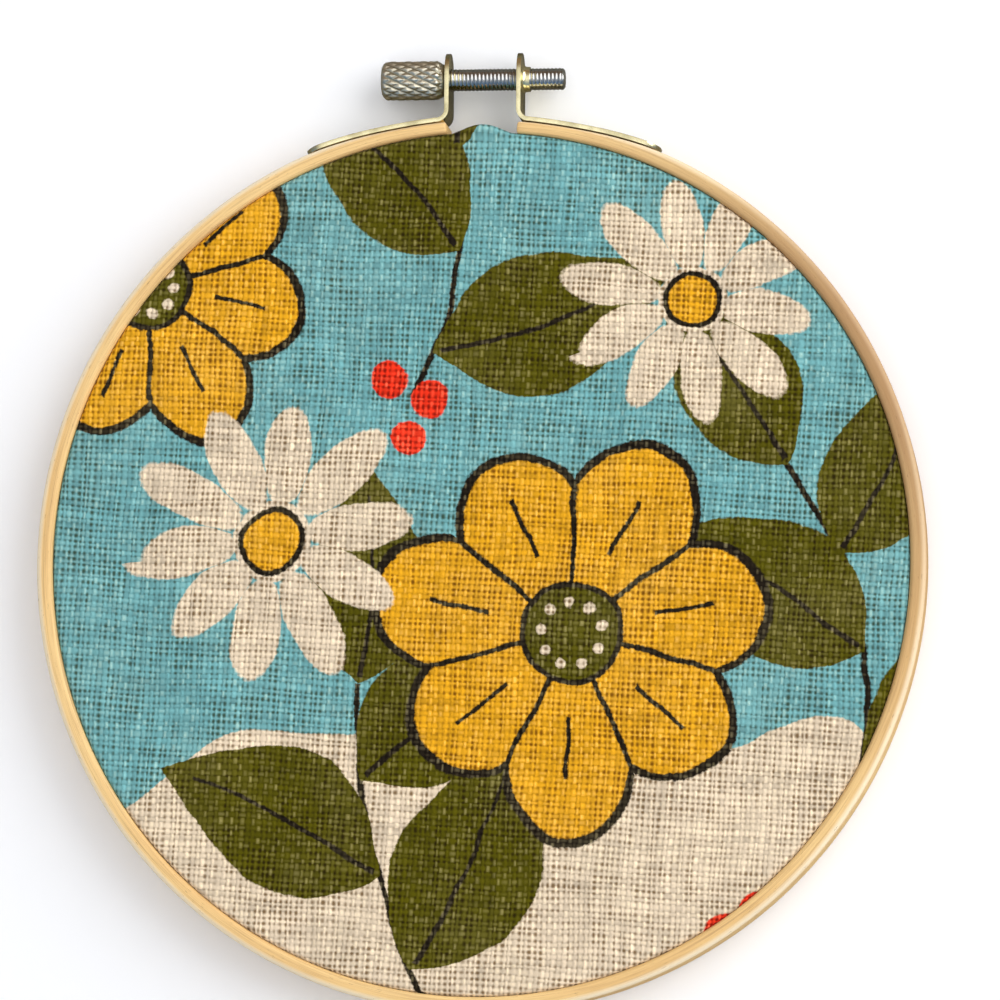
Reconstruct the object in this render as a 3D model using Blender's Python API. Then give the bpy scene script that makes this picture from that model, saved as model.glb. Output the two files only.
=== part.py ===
import math

import bmesh
import bpy

# Printed cloth stretched in a wooden hoop, lying on its back: +Z is the face, +Y points to the screw.

MM = 0.001
CLEARANCE = 0.3 * MM                 # between pieces that touch

# Hoop
RING_OUTER_RADIUS = 80.0 * MM
OUTER_RING_WALL = 2.9 * MM
INNER_RING_WALL = 3.0 * MM
RING_DEPTH = 10.0 * MM
OVALITY = 1.007                      # the hoop is this much longer towards its screw than across
WOOD_EDGE_RADIUS = 0.6 * MM
WOOD_BEVEL_LIMIT = math.radians(40)
GAP_HALF_WIDTH = 6.45 * MM           # from the middle of the split to each end of the outer ring
END_THINNING = 0.7 * MM              # the split ends are this much thinner, on their outside
THIN_TO_ANGLE = math.radians(9)      # fully thinned up to here, measured from the screw
THIN_FROM_ANGLE = math.radians(26)   # and not at all from here on
RING_STEPS = 96

# Cloth
CLOTH_THICKNESS = 1.0 * MM
CLOTH_FACE_HEIGHT = 9.8 * MM
CLOTH_EDGE_RADIUS = 1.5 * MM         # where the cloth turns over the inner ring
CLOTH_HEM_HEIGHT = 0.4 * MM          # the cloth is trimmed this far above the back
BULGE = 1.6 * MM                     # the cloth pushes this far into the split
BULGE_HALF_WIDTH = 5.85 * MM
BULGE_POWER = 1.5                    # how softly the bulge runs out
FACE_RING_SHARES = (0.35, 0.7, 0.9)
EDGE_STEPS = 4
FINE_FACTOR = 3                      # steps are this much closer beside the split
FINE_STEPS = 18

# Brackets
STRIP_THICKNESS = 0.8 * MM
STRIP_WIDTH = 8.0 * MM
STRIP_END_ANGLE = math.radians(23.4)
STRIP_CORNER_RADIUS = 3.0 * MM
BEND_RADIUS = 1.5 * MM               # inside of the bend between strip and ear
EAR_INNER_X = 6.13 * MM              # face of an ear that looks into the split
EAR_TOP = 92.6 * MM                  # from the hoop's centre
EAR_FIRST_TURN = math.radians(12)    # the ear's round top starts with a short flat
COLLAR_BASE_RADIUS = 3.1 * MM
COLLAR_TIP_RADIUS = 2.65 * MM
COLLAR_LENGTH = 1.4 * MM
ROUND_STEPS = 6
BEND_STEPS = 5
STRIP_STEPS = 8

# Thumbscrew
SCREW_DISTANCE = 88.0 * MM           # from the hoop's centre to the screw's axis
SHAFT_RADIUS = 2.0 * MM
SHAFT_TIP = 14.6 * MM                # right of the split's middle
SHAFT_CHAMFER = 0.4 * MM
KNOB_RADIUS = 3.55 * MM
KNOB_LENGTH = 11.5 * MM
KNOB_ROUNDING = 1.1 * MM
KNOB_ROUNDING_STEPS = 4
KNOB_NECK_RADIUS = 2.8 * MM
KNOB_TAPER = 1.4 * MM
KNOB_BORE_DEPTH = 6.0 * MM
SCREW_STEPS = 40
HOLE_STEPS = 32
TURNED_SMOOTH_ANGLE = 25
WELD_DISTANCE = 0.002 * MM

# Places worked out from the sizes above
HOOP_CENTRE_Y = -(EAR_TOP - RING_OUTER_RADIUS * OVALITY) / 2
MID_DEPTH = RING_DEPTH / 2
SCREW_Y = HOOP_CENTRE_Y + SCREW_DISTANCE
HOLE_RADIUS = SHAFT_RADIUS + CLEARANCE
OUTER_RING_INNER_RADIUS = RING_OUTER_RADIUS - OUTER_RING_WALL
CLOTH_RADIUS = OUTER_RING_INNER_RADIUS - CLEARANCE
INNER_RING_RADIUS = CLOTH_RADIUS - CLOTH_THICKNESS - CLEARANCE
INNER_RING_HEIGHT = CLOTH_FACE_HEIGHT - CLOTH_THICKNESS - CLEARANCE
EAR_OUTER_X = EAR_INNER_X + STRIP_THICKNESS
KNOB_RIGHT_X = -EAR_OUTER_X - CLEARANCE
KNOB_LEFT_X = KNOB_RIGHT_X - KNOB_LENGTH


def clear_scene():
    for scene_object in list(bpy.data.objects):
        bpy.data.objects.remove(scene_object, do_unlink=True)


def linear(channel):
    """Turns one sRGB channel of 0 to 255 into Blender's linear value."""
    share = channel / 255
    return share / 12.92 if share <= 0.04045 else ((share + 0.055) / 1.055) ** 2.4


def make_material(name, colour, roughness, metallic=0.0):
    material = bpy.data.materials.new(name)
    material.use_nodes = True
    shader = material.node_tree.nodes["Principled BSDF"]
    shader.inputs["Base Color"].default_value = (*(linear(channel) for channel in colour), 1.0)
    shader.inputs["Roughness"].default_value = roughness
    shader.inputs["Metallic"].default_value = metallic
    return material


def add_object(name, shape, material, smooth_angle=35):
    """Makes an object of a bmesh, with its faces pointing out and its round parts shaded smooth."""
    bmesh.ops.recalc_face_normals(shape, faces=shape.faces)
    mesh = bpy.data.meshes.new(name)
    shape.to_mesh(mesh)
    shape.free()
    mesh.materials.append(material)
    mesh.shade_smooth()
    mesh.set_sharp_from_angle(angle=math.radians(smooth_angle))
    new_object = bpy.data.objects.new(name, mesh)
    bpy.context.scene.collection.objects.link(new_object)
    return new_object


def skin(rows, closed_along):
    """Joins closed rows of points, each with the same count, into a surface of quads."""
    shape = bmesh.new()
    grid = [[shape.verts.new(point) for point in row] for row in rows]
    pairs = list(zip(grid, grid[1:]))
    if closed_along:
        pairs.append((grid[-1], grid[0]))
    for row, next_row in pairs:
        count = len(row)
        for index in range(count):
            after = (index + 1) % count
            shape.faces.new((row[index], row[after], next_row[after], next_row[index]))
    return shape, grid


def on_hoop(angle, radius, height):
    """A point at an angle clockwise from the screw, on the hoop's slightly oval plan."""
    return (
        radius * math.sin(angle),
        HOOP_CENTRE_Y + radius * math.cos(angle) * OVALITY,
        height,
    )


def outer_radius_at(angle):
    """The outer ring's outer radius, which lessens towards the split under the brackets."""
    away = abs(math.remainder(angle, 2 * math.pi))
    share = (THIN_FROM_ANGLE - away) / (THIN_FROM_ANGLE - THIN_TO_ANGLE)
    share = min(max(share, 0.0), 1.0)
    return RING_OUTER_RADIUS - END_THINNING * share**2 * (3 - 2 * share)


def round_wood_edges(ring):
    bevel = ring.modifiers.new("Rounded edges", "BEVEL")
    bevel.width = WOOD_EDGE_RADIUS
    bevel.segments = 2
    bevel.limit_method = "ANGLE"
    bevel.angle_limit = WOOD_BEVEL_LIMIT


def make_inner_ring(wood):
    outer, inner = INNER_RING_RADIUS, INNER_RING_RADIUS - INNER_RING_WALL
    profile = ((outer, 0.0), (outer, INNER_RING_HEIGHT), (inner, INNER_RING_HEIGHT), (inner, 0.0))
    angles = [2 * math.pi * step / RING_STEPS for step in range(RING_STEPS)]
    shape, _ = skin([[on_hoop(angle, *corner) for corner in profile] for angle in angles], True)
    round_wood_edges(add_object("inner_ring", shape, wood))


def make_outer_ring(wood):
    """The split ring, whose two ends stand parallel on either side of the gap."""
    profile = ((True, 0.0), (True, RING_DEPTH), (False, RING_DEPTH), (False, 0.0))
    rows = []
    for step in range(RING_STEPS + 1):
        row = []
        for is_outside, height in profile:
            end_radius = outer_radius_at(0.0) if is_outside else OUTER_RING_INNER_RADIUS
            gap_angle = math.asin(GAP_HALF_WIDTH / end_radius)
            angle = gap_angle + (2 * math.pi - 2 * gap_angle) * step / RING_STEPS
            radius = outer_radius_at(angle) if is_outside else OUTER_RING_INNER_RADIUS
            row.append(on_hoop(angle, radius, height))
        rows.append(row)
    shape, grid = skin(rows, False)
    shape.faces.new(grid[0])
    shape.faces.new(grid[-1])
    round_wood_edges(add_object("outer_ring", shape, wood))


def bulge_at(angle):
    """How far the cloth stands out into the split at an angle from the screw."""
    across = CLOTH_RADIUS * math.sin(angle) / BULGE_HALF_WIDTH
    if math.cos(angle) < 0 or abs(across) >= 1:
        return 0.0
    return BULGE * math.cos(across * math.pi / 2) ** BULGE_POWER


def cloth_skin(inset):
    """Radius, height and share of the bulge down one skin of the cloth, from the middle to the hem."""
    radius = CLOTH_RADIUS - inset
    height = CLOTH_FACE_HEIGHT - inset
    corner = CLOTH_EDGE_RADIUS - inset
    flat_radius = radius - corner
    rows = [(flat_radius * share, height, 0.0) for share in FACE_RING_SHARES]
    for step in range(EDGE_STEPS + 1):
        turn = math.pi / 2 * step / EDGE_STEPS
        share = math.sin(turn)
        rows.append((flat_radius + corner * share, height - corner * (1 - math.cos(turn)), share))
    rows.append((radius, CLOTH_HEM_HEIGHT, 1.0))
    return rows


def cloth_angles():
    """Angles around the cloth, closer where it bulges into the split."""
    fine = 2 * math.pi / RING_STEPS / FINE_FACTOR
    coarse_steps = RING_STEPS - FINE_STEPS // FINE_FACTOR
    fine_reach = FINE_STEPS / 2 * fine
    angles = [-fine_reach + fine * step for step in range(FINE_STEPS)]
    span = 2 * math.pi - 2 * fine_reach
    return angles + [fine_reach + span * step / coarse_steps for step in range(coarse_steps)]


def make_cloth(linen):
    """One sheet: a flat face, a rounded turn over the inner ring, and a skirt between the rings."""
    face_side = cloth_skin(0.0)
    back_side = cloth_skin(CLOTH_THICKNESS)
    angles = cloth_angles()
    rows = [
        [on_hoop(angle, radius + share * bulge_at(angle), height) for angle in angles]
        for radius, height, share in face_side + back_side[::-1]
    ]
    shape, grid = skin(rows, False)
    for row, height in ((grid[0], CLOTH_FACE_HEIGHT), (grid[-1], CLOTH_FACE_HEIGHT - CLOTH_THICKNESS)):
        middle = shape.verts.new((0.0, HOOP_CENTRE_Y, height))
        for index, point in enumerate(row):
            shape.faces.new((point, row[(index + 1) % len(row)], middle))
    add_object("cloth", shape, linen)


def strip_path():
    """Stations on a bracket's middle line in plan: place, direction, distance from the ear's top."""
    ear_x = EAR_INNER_X + STRIP_THICKNESS / 2
    off_ring = CLEARANCE + STRIP_THICKNESS / 2
    ring_radius = outer_radius_at(0.0) + off_ring
    bend = BEND_RADIUS + STRIP_THICKNESS / 2
    bend_x = ear_x + bend
    bend_y = math.sqrt((ring_radius + bend) ** 2 - bend_x**2)
    start_angle = math.atan2(bend_x, bend_y)
    ear_length = EAR_TOP / OVALITY - bend_y
    ear_radius = STRIP_WIDTH / 2

    stations = []
    for step in range(ROUND_STEPS):
        turn = EAR_FIRST_TURN + (math.pi / 2 - EAR_FIRST_TURN) * step / ROUND_STEPS
        down = ear_radius * (1 - math.cos(turn))
        stations.append((ear_x, EAR_TOP / OVALITY - down, (0.0, -1.0), down))
    stations.append((ear_x, EAR_TOP / OVALITY - ear_radius, (0.0, -1.0), ear_radius))
    for step in range(BEND_STEPS + 1):
        turn = (math.pi / 2 + start_angle) * step / BEND_STEPS
        place = (bend_x - bend * math.cos(turn), bend_y - bend * math.sin(turn))
        stations.append((*place, (math.sin(turn), -math.cos(turn)), ear_length + bend * turn))
    arc_from = ear_length + bend * (math.pi / 2 + start_angle)
    corner_angle = STRIP_CORNER_RADIUS / ring_radius
    flat_end = STRIP_END_ANGLE - corner_angle
    span = flat_end - start_angle
    angles = [start_angle + span * step / STRIP_STEPS for step in range(1, STRIP_STEPS + 1)]
    for step in range(1, ROUND_STEPS + 1):
        turn = math.pi / 2 * step / ROUND_STEPS
        angles.append(flat_end + corner_angle * math.sin(turn))
    for angle in angles:
        radius = outer_radius_at(angle) + off_ring
        place = (radius * math.sin(angle), radius * math.cos(angle))
        direction = (math.cos(angle), -math.sin(angle))
        stations.append((*place, direction, arc_from + ring_radius * (angle - start_angle)))
    return stations


def strip_half_width(distance, length):
    """Half the strip's width: its ear has a fully round top and its other end rounded corners."""
    full = STRIP_WIDTH / 2
    if distance < full:
        return math.sqrt(full**2 - (full - distance) ** 2)
    from_end = length - distance
    if from_end < STRIP_CORNER_RADIUS:
        inside = STRIP_CORNER_RADIUS - from_end
        return full - STRIP_CORNER_RADIUS + math.sqrt(max(STRIP_CORNER_RADIUS**2 - inside**2, 0.0))
    return full


def screw_line_cylinder(name, radius, start_x, end_x, end_radius=None):
    """A cylinder or cone along the screw's axis, between two places in X."""
    shape = bmesh.new()
    bmesh.ops.create_cone(
        shape,
        cap_ends=True,
        segments=HOLE_STEPS,
        radius1=radius,
        radius2=radius if end_radius is None else end_radius,
        depth=end_x - start_x,
    )
    helper = add_object(name, shape, bpy.data.materials["Champagne brass"])
    helper.location = ((start_x + end_x) / 2, SCREW_Y, MID_DEPTH)
    helper.rotation_euler = (0.0, math.pi / 2, 0.0)
    helper.hide_render = True
    helper.display_type = "WIRE"
    return helper


def add_boolean(target, operation, helper):
    boolean = target.modifiers.new(operation.title(), "BOOLEAN")
    boolean.operation = operation
    boolean.solver = "EXACT"
    boolean.object = helper


def make_bracket(name, side, brass):
    """A bent strip: its ear stands up beside the split and its tail follows the outer ring."""
    stations = strip_path()
    length = stations[-1][3]
    rows = []
    for x, y, direction, distance in stations:
        half_width = strip_half_width(distance, length)
        normal = (-direction[1], direction[0])
        row = []
        for across, up in ((1, 1), (1, -1), (-1, -1), (-1, 1)):
            offset = across * STRIP_THICKNESS / 2
            row.append(
                (
                    side * (x + normal[0] * offset),
                    HOOP_CENTRE_Y + (y + normal[1] * offset) * OVALITY,
                    MID_DEPTH + up * half_width,
                )
            )
        rows.append(row)
    shape, grid = skin(rows, False)
    shape.faces.new(grid[0])
    shape.faces.new(grid[-1])
    bracket = add_object(name, shape, brass)
    if side > 0:
        collar_end = EAR_OUTER_X + COLLAR_LENGTH
        inside_ear = EAR_OUTER_X - STRIP_THICKNESS / 2
        collar = screw_line_cylinder(
            name + "_collar_form", COLLAR_BASE_RADIUS, inside_ear, collar_end, COLLAR_TIP_RADIUS
        )
        add_boolean(bracket, "UNION", collar)
    near, far = EAR_INNER_X - MM, EAR_OUTER_X + COLLAR_LENGTH + MM
    start_x, end_x = (near, far) if side > 0 else (-far, -near)
    hole = screw_line_cylinder(name + "_hole_form", HOLE_RADIUS, start_x, end_x)
    add_boolean(bracket, "DIFFERENCE", hole)


def turn_on_screw_axis(name, profile, material):
    """Turns a profile of places along X and radii about the screw's axis."""
    shape = bmesh.new()
    points = [shape.verts.new((x, radius, 0.0)) for x, radius in profile]
    edges = [shape.edges.new(pair) for pair in zip(points, points[1:])]
    bmesh.ops.spin(
        shape, geom=points + edges, axis=(1, 0, 0), cent=(0, 0, 0), angle=2 * math.pi, steps=SCREW_STEPS
    )
    bmesh.ops.remove_doubles(shape, verts=shape.verts, dist=WELD_DISTANCE)
    turned = add_object(name, shape, material, TURNED_SMOOTH_ANGLE)
    turned.parent = bpy.data.objects["thumbscrew_axis"]


def make_knob(nickel):
    """The grip: its far end is rounded, the end at the ear tapers, and a blind bore takes the shaft."""
    profile = [(KNOB_LEFT_X, 0.0)]
    for step in range(KNOB_ROUNDING_STEPS + 1):
        turn = math.pi / 2 * step / KNOB_ROUNDING_STEPS
        out = KNOB_ROUNDING * math.sin(turn)
        along = KNOB_ROUNDING * (1 - math.cos(turn))
        profile.append((KNOB_LEFT_X + along, KNOB_RADIUS - KNOB_ROUNDING + out))
    bore_end = KNOB_RIGHT_X - KNOB_BORE_DEPTH
    profile += [
        (KNOB_RIGHT_X - KNOB_TAPER, KNOB_RADIUS),
        (KNOB_RIGHT_X, KNOB_NECK_RADIUS),
        (KNOB_RIGHT_X, HOLE_RADIUS),
        (bore_end, HOLE_RADIUS),
        (bore_end, 0.0),
    ]
    turn_on_screw_axis("knob", profile, nickel)


def make_shaft(steel):
    start = KNOB_RIGHT_X - KNOB_BORE_DEPTH + CLEARANCE
    tip_radius = SHAFT_RADIUS - SHAFT_CHAMFER
    profile = (
        (start, 0.0),
        (start, SHAFT_RADIUS),
        (SHAFT_TIP - SHAFT_CHAMFER, SHAFT_RADIUS),
        (SHAFT_TIP, tip_radius),
        (SHAFT_TIP, 0.0),
    )
    turn_on_screw_axis("screw_shaft", profile, steel)


def make_thumbscrew_axis():
    axis = bpy.data.objects.new("thumbscrew_axis", None)
    axis.location = (0.0, SCREW_Y, MID_DEPTH)
    bpy.context.scene.collection.objects.link(axis)


def main():
    clear_scene()
    wood = make_material("Pale wood", (244, 203, 140), 0.5)
    linen = make_material("Turquoise linen", (110, 185, 200), 0.9)
    brass = make_material("Champagne brass", (214, 200, 160), 0.3, 1.0)
    nickel = make_material("Nickel", (190, 184, 170), 0.3, 1.0)
    steel = make_material("Zinc steel", (150, 160, 168), 0.3, 1.0)
    make_inner_ring(wood)
    make_outer_ring(wood)
    make_cloth(linen)
    make_bracket("bracket_left", -1, brass)
    make_bracket("bracket_right", 1, brass)
    make_thumbscrew_axis()
    make_knob(nickel)
    make_shaft(steel)


main()
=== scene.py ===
import math

import bmesh
import bpy
from mathutils import Matrix, Vector, noise


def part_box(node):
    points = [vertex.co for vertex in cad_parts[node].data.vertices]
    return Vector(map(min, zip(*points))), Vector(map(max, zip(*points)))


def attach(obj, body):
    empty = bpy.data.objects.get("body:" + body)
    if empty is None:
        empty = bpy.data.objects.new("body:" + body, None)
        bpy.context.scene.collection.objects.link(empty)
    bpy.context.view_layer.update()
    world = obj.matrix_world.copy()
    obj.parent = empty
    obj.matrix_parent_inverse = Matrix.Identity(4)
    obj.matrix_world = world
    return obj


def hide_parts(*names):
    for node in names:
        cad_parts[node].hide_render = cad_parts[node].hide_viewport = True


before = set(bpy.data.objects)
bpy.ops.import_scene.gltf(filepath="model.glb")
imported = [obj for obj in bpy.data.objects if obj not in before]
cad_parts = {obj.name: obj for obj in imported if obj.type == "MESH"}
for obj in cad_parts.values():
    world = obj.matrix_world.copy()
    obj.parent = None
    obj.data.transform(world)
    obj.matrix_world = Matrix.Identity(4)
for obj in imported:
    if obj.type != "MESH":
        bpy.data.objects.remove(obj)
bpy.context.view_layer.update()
mm = 0.001

# places and sizes that the frame holds
rimLow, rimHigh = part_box("outer_ring")
ringLow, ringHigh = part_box("inner_ring")
clothLow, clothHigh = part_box("cloth")
earLow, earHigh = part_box("bracket_right")
knobLow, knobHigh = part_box("knob")
shaftLow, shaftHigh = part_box("screw_shaft")
hoopY = (ringLow.y + ringHigh.y) / 2
oval = (ringHigh.y - ringLow.y) / (ringHigh.x - ringLow.x)
screwY = (shaftLow.y + shaftHigh.y) / 2
screwZ = (shaftLow.z + shaftHigh.z) / 2
screwAxis = {"Axis Y": screwY, "Axis Z": screwZ}
earInnerX = earLow.x

# the split ring is thinner on its outside where the brackets lie
splitPlan = {
    "Gap Half": 6.45 * mm,
    "Thinning": 0.7 * mm,
    "Thin To": math.radians(9),
    "Thin From": math.radians(26),
}


def thinningAt(angle):
    plan = splitPlan
    share = (plan["Thin From"] - abs(angle)) / (plan["Thin From"] - plan["Thin To"])
    share = min(max(share, 0.0), 1.0)
    return plan["Thinning"] * share**2 * (3 - 2 * share)


class Wire:
    # one output socket of a tree: arithmetic on it adds Math nodes
    def __init__(self, board, socket):
        self.board = board
        self.socket = socket

    def math(self, operation, *values):
        return self.board.math(operation, self, *values)

    def __add__(self, other):
        return self.math("ADD", other)

    def __sub__(self, other):
        return self.math("SUBTRACT", other)

    def __rsub__(self, other):
        return self.board.math("SUBTRACT", other, self)

    def __mul__(self, other):
        return self.math("MULTIPLY", other)

    def __truediv__(self, other):
        return self.math("DIVIDE", other)

    def __pow__(self, other):
        return self.math("POWER", other)

    def __neg__(self):
        return self.math("MULTIPLY", -1.0)

    def __abs__(self):
        return self.math("ABSOLUTE")

    __radd__ = __add__
    __rmul__ = __mul__

    def least(self, other):
        return self.math("MINIMUM", other)

    def most(self, other):
        return self.math("MAXIMUM", other)

    def within(self, low, high):
        return self.most(low).least(high)


class Board:
    # a shader or geometry tree, with one method that adds any node
    def __init__(self, tree):
        self.tree = tree

    def node(self, kind, settings=None, sockets=None, output=0):
        made = self.tree.nodes.new(kind)
        for name, value in (settings or {}).items():
            setattr(made, name, value)
        for name, value in (sockets or {}).items():
            self.feed(made.inputs[name], value)
        return Wire(self, made.outputs[output])

    def feed(self, socket, value):
        if isinstance(value, Wire):
            self.tree.links.new(value.socket, socket)
        else:
            socket.default_value = value

    def math(self, operation, *values):
        return self.node("ShaderNodeMath", {"operation": operation}, dict(enumerate(values)))

    def vector(self, x, y, z=0.0):
        return self.node("ShaderNodeCombineXYZ", None, {"X": x, "Y": y, "Z": z})

    def parts(self, vector):
        split = self.node("ShaderNodeSeparateXYZ", None, {"Vector": vector})
        return [Wire(self, socket) for socket in split.socket.node.outputs]

    def length(self, vector):
        return self.node("ShaderNodeVectorMath", {"operation": "LENGTH"}, {"Vector": vector}, "Value")

    def scaled(self, vector, amount):
        sockets = {"Vector": vector, "Scale": amount}
        return self.node("ShaderNodeVectorMath", {"operation": "SCALE"}, sockets)

    def summed(self, first, second):
        return self.node("ShaderNodeVectorMath", {"operation": "ADD"}, {0: first, 1: second})

    def noise(self, vector, scale=1.0, detail=2.0, output="Fac"):
        sockets = {"Vector": vector, "Scale": scale, "Detail": detail}
        return self.node("ShaderNodeTexNoise", None, sockets, output)

    def blend(self, share, first, second, way="MIX"):
        settings = {"data_type": "RGBA", "blend_type": way, "clamp_factor": True}
        return self.node("ShaderNodeMix", settings, {0: share, 6: first, 7: second}, 2)


def tone(red, green, blue):
    # a screen colour of 0 to 255 as Blender's linear colour
    def linear(channel):
        share = channel / 255
        return share / 12.92 if share <= 0.04045 else ((share + 0.055) / 1.055) ** 2.4

    return (linear(red), linear(green), linear(blue), 1.0)


def newMaterial(name, **constants):
    material = bpy.data.materials.new(name)
    material.use_nodes = True
    shader = material.node_tree.nodes["Principled BSDF"]
    for socket, value in constants.items():
        shader.inputs[socket.replace("_", " ")].default_value = value
    return material, Board(material.node_tree), shader


def roughened(board, shader, height, depth):
    bump = board.node("ShaderNodeBump", None, {"Height": height, "Distance": depth})
    board.feed(shader.inputs["Normal"], bump)


def addPiece(name, mesh, material, body, nodes, smoothAngle=35):
    # a finished mesh becomes an object at the origin that rides on a body
    shape = bmesh.new()
    shape.from_mesh(mesh)
    bmesh.ops.remove_doubles(shape, verts=shape.verts, dist=0.002 * mm)
    bmesh.ops.recalc_face_normals(shape, faces=shape.faces)
    shape.to_mesh(mesh)
    shape.free()
    mesh.shade_smooth()
    mesh.set_sharp_from_angle(angle=math.radians(smoothAngle))
    if not any(mesh.materials):
        mesh.materials.clear()
        mesh.materials.append(material)
    piece = bpy.data.objects.new(name, mesh)
    bpy.context.scene.collection.objects.link(piece)
    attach(piece, body)
    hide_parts(*nodes)
    return piece


def plainMesh(source, name):
    # an object's mesh with its modifiers run, after which the object goes
    bpy.context.view_layer.update()
    graph = bpy.context.evaluated_depsgraph_get()
    mesh = bpy.data.meshes.new_from_object(source.evaluated_get(graph), depsgraph=graph)
    mesh.name = name
    bpy.data.objects.remove(source, do_unlink=True)
    return mesh


def temporaryObject(name, mesh):
    source = bpy.data.objects.new(name + "Source", mesh)
    bpy.context.scene.collection.objects.link(source)
    return source


def addBevel(source, width, segments, angle):
    rounding = source.modifiers.new("Rounding", "BEVEL")
    rounding.width = width
    rounding.segments = segments
    rounding.limit_method = "ANGLE"
    rounding.angle_limit = math.radians(angle)


def shapeTree(name, sizes):
    # an empty Geometry Nodes tree with a named input for each size
    tree = bpy.data.node_groups.new(name, "GeometryNodeTree")
    tree.interface.new_socket("Geometry", in_out="OUTPUT", socket_type="NodeSocketGeometry")
    for label, value in sizes.items():
        kind = "NodeSocketInt" if isinstance(value, int) else "NodeSocketFloat"
        tree.interface.new_socket(label, in_out="INPUT", socket_type=kind)
    board = Board(tree)
    entry = tree.nodes.new("NodeGroupInput")
    return board, {label: Wire(board, entry.outputs[label]) for label in sizes}


def closeTree(board, geometry, material):
    smooth = board.node("GeometryNodeSetShadeSmooth", None, {"Geometry": geometry})
    real = board.node("GeometryNodeRealizeInstances", None, {"Geometry": smooth})
    painted = board.node("GeometryNodeSetMaterial", None, {"Geometry": real, "Material": material})
    leave = board.tree.nodes.new("NodeGroupOutput")
    board.feed(leave.inputs["Geometry"], painted)


def meshFromTree(name, board, sizes, endBevel=0.0):
    source = temporaryObject(name, bpy.data.meshes.new(name))
    modifier = source.modifiers.new("Shape", "NODES")
    modifier.node_group = board.tree
    for item in board.tree.interface.items_tree:
        if item.item_type == "SOCKET" and item.in_out == "INPUT":
            modifier[item.identifier] = sizes[item.name]
    if endBevel:
        addBevel(source, endBevel, 3, 60)
    return plainMesh(source, name)


# wood of the two rings: streaks that follow the bend
woodLook = {
    "light": tone(248, 211, 144),
    "middle": tone(235, 189, 120),
    "tan": tone(166, 123, 78),
    "wearAndPaintedLight": tone(252, 235, 202),  # painted highlight along the outer front rounded edge
    "streak": tone(176, 130, 80),
    "fleck": tone(120, 80, 44),
    "tanPlace": math.radians(62),  # the browner stretch, clockwise from the split
    "tanShare": 0.9,
    "tanMost": 0.85,
    "streakShare": 0.45,
    "fibreMost": 0.35,
    "edgeHighlightWidth": 1.1,  # in millimetres, in from the outer edge
    "edgeHighlightHeight": 8.4,  # in millimetres above the hoop's back
    "edgeHighlightMost": 0.85,
    "fleckFrom": 0.69,  # a higher value leaves fewer flecks
    "fleckMost": 0.7,
    "roughness": 0.5,
    "relief": 0.12 * mm,
    # scales per millimetre along, across and through the ring, then the detail
    "broad": (0.02, 0.5, 0.25, 3.0),
    "streaks": (0.035, 2.6, 1.7, 5.0),
    "fibres": (0.12, 9.0, 7.0, 3.0),
    "pores": (0.55, 7.0, 6.0, 2.0),
}


def woodMaterial(name, shade):
    look = woodLook
    material, board, shader = newMaterial(name, Roughness=look["roughness"])
    place = board.node("ShaderNodeTexCoord", None, None, "Object")
    x, y, z = board.parts(place)
    y = (y - hoopY) / oval
    radius = board.length(board.vector(x, y))
    turn = board.math("ARCTAN2", x, -y)
    rimMm = rimHigh.x / mm
    along, across, depth = turn * rimMm, radius / mm, z / mm

    def grain(key):
        alongScale, acrossScale, depthScale, detail = look[key]
        spot = board.vector(along * alongScale, across * acrossScale, depth * depthScale)
        return board.noise(spot, 1.0, detail)

    broad, streaks, fibres, pores = grain("broad"), grain("streaks"), grain("fibres"), grain("pores")
    warm = ((broad - 0.5) * 2.2 + 0.5).within(0.0, 1.0)
    lined = ((streaks - 0.53) * 6.0).within(0.0, 1.0) * look["streakShare"]
    fibrous = ((fibres - 0.5) * 2.5).within(0.0, look["fibreMost"])
    facing = (turn - (math.pi - look["tanPlace"])).math("COSINE")
    browner = facing.most(0.0) ** 4.0 * look["tanShare"] + (broad - 0.5) * 0.5
    browner = browner.within(0.0, look["tanMost"])
    # painted highlight on the outer front rounded edge, left out of the browner stretch
    paintedEdgeHighlight = ((across - (rimMm - look["edgeHighlightWidth"])) * 1.2).within(0.0, look["edgeHighlightMost"])
    paintedEdgeHighlight = paintedEdgeHighlight * ((depth - look["edgeHighlightHeight"]) * 0.8).within(0.0, 1.0) * (1.0 - browner)
    flecks = ((pores - look["fleckFrom"]) * 14.0).within(0.0, look["fleckMost"])
    colour = board.blend(warm, look["light"], look["middle"])
    colour = board.blend(browner, colour, look["tan"])
    colour = board.blend(lined, colour, look["streak"])
    colour = board.blend(fibrous, colour, look["streak"])
    colour = board.blend(paintedEdgeHighlight, colour, look["wearAndPaintedLight"])
    colour = board.blend(flecks, colour, look["fleck"])
    board.feed(shader.inputs["Base Color"], board.scaled(colour, shade))
    board.feed(shader.inputs["Roughness"], look["roughness"] + (fibres - 0.5) * 0.25)
    roughened(board, shader, streaks * 0.5 + fibres * 0.5 - pores * 0.3, look["relief"])
    return material


# rings: an arc bent along the hoop's oval with a rounded bar swept along it
ringShapes = {
    "splitRing": {"Wall": 2.9 * mm, "Corner": 0.9 * mm, "Uneven": 0.07 * mm, "Steps": 300},
    "closedRing": {"Wall": 3.0 * mm, "Corner": 0.6 * mm, "Uneven": 0.05 * mm, "Steps": 240},
}
ringEndBevel = 0.35 * mm
innerRingShade = 0.93


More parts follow.
